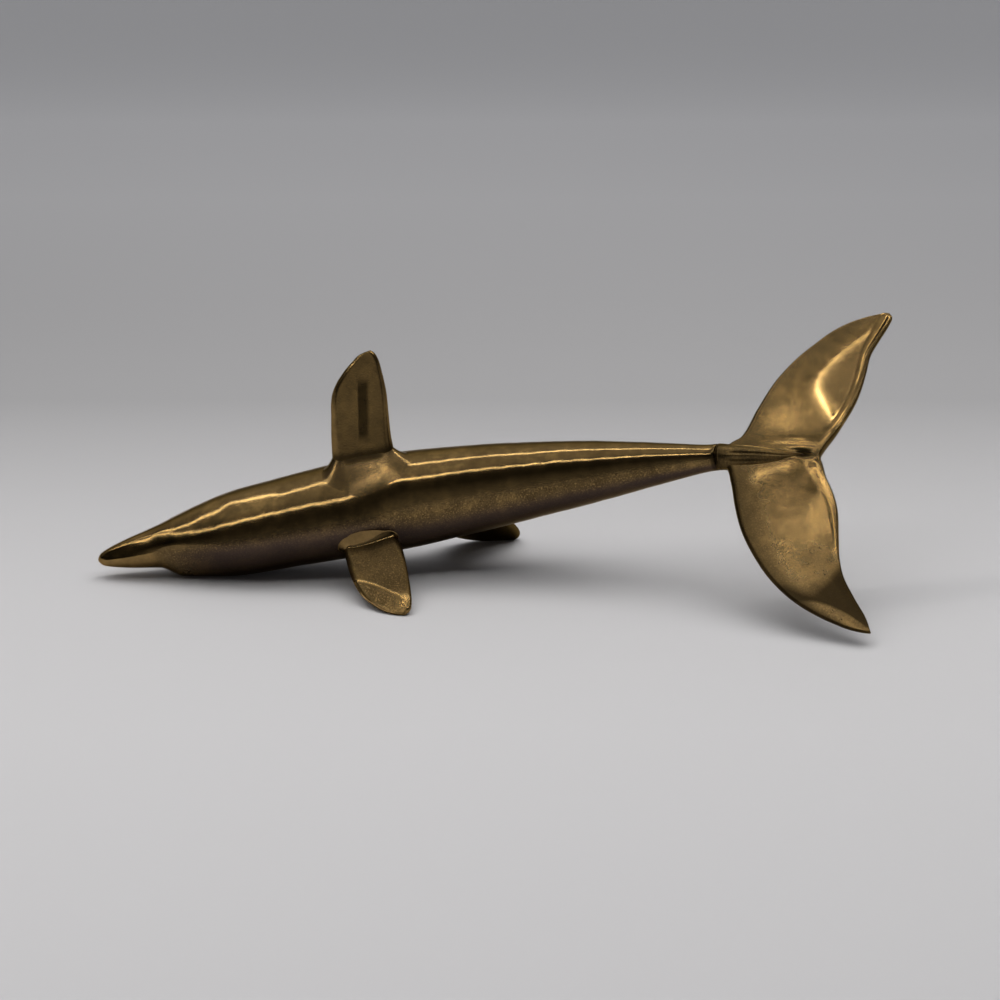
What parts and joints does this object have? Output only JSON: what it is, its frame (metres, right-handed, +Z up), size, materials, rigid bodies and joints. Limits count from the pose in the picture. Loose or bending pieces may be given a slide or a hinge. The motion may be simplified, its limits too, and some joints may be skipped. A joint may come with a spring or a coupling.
{
  "type": "dolphin figurine",
  "caption": "Solid cast brass dolphin lying on its side with brazed fins and spread tail flukes, a shelf or desk ornament that rests on forehead and fin tips.",
  "frame": {"origin": "middle of the bounding box on the surface that the figure lies on", "axes": "+Z up, +X from the snout towards the tail, -Y towards the belly"},
  "size_m": [0.2368, 0.0878, 0.0785],
  "materials": {
    "cast_brass": "worn semi-gloss brass with brown tarnish in the hollows, fine casting grain and small pits",
    "braze": "filed brazing brass, tarnished like the castings",
    "pin": "plain drawn brass rod, hidden in the joints"
  },
  "bodies": {
    "root": {"body_casting": "cast_brass", "tail_flukes": "cast_brass", "left_pectoral_fin": "cast_brass", "right_pectoral_fin": "cast_brass", "dorsal_fin": "cast_brass", "left_pectoral_braze": "braze", "right_pectoral_braze": "braze", "dorsal_braze": "braze", "tail_braze": "braze", "left_pectoral_pin": "pin", "right_pectoral_pin": "pin", "dorsal_pin": "pin", "tail_pin": "pin"}
  },
  "joints": []
}
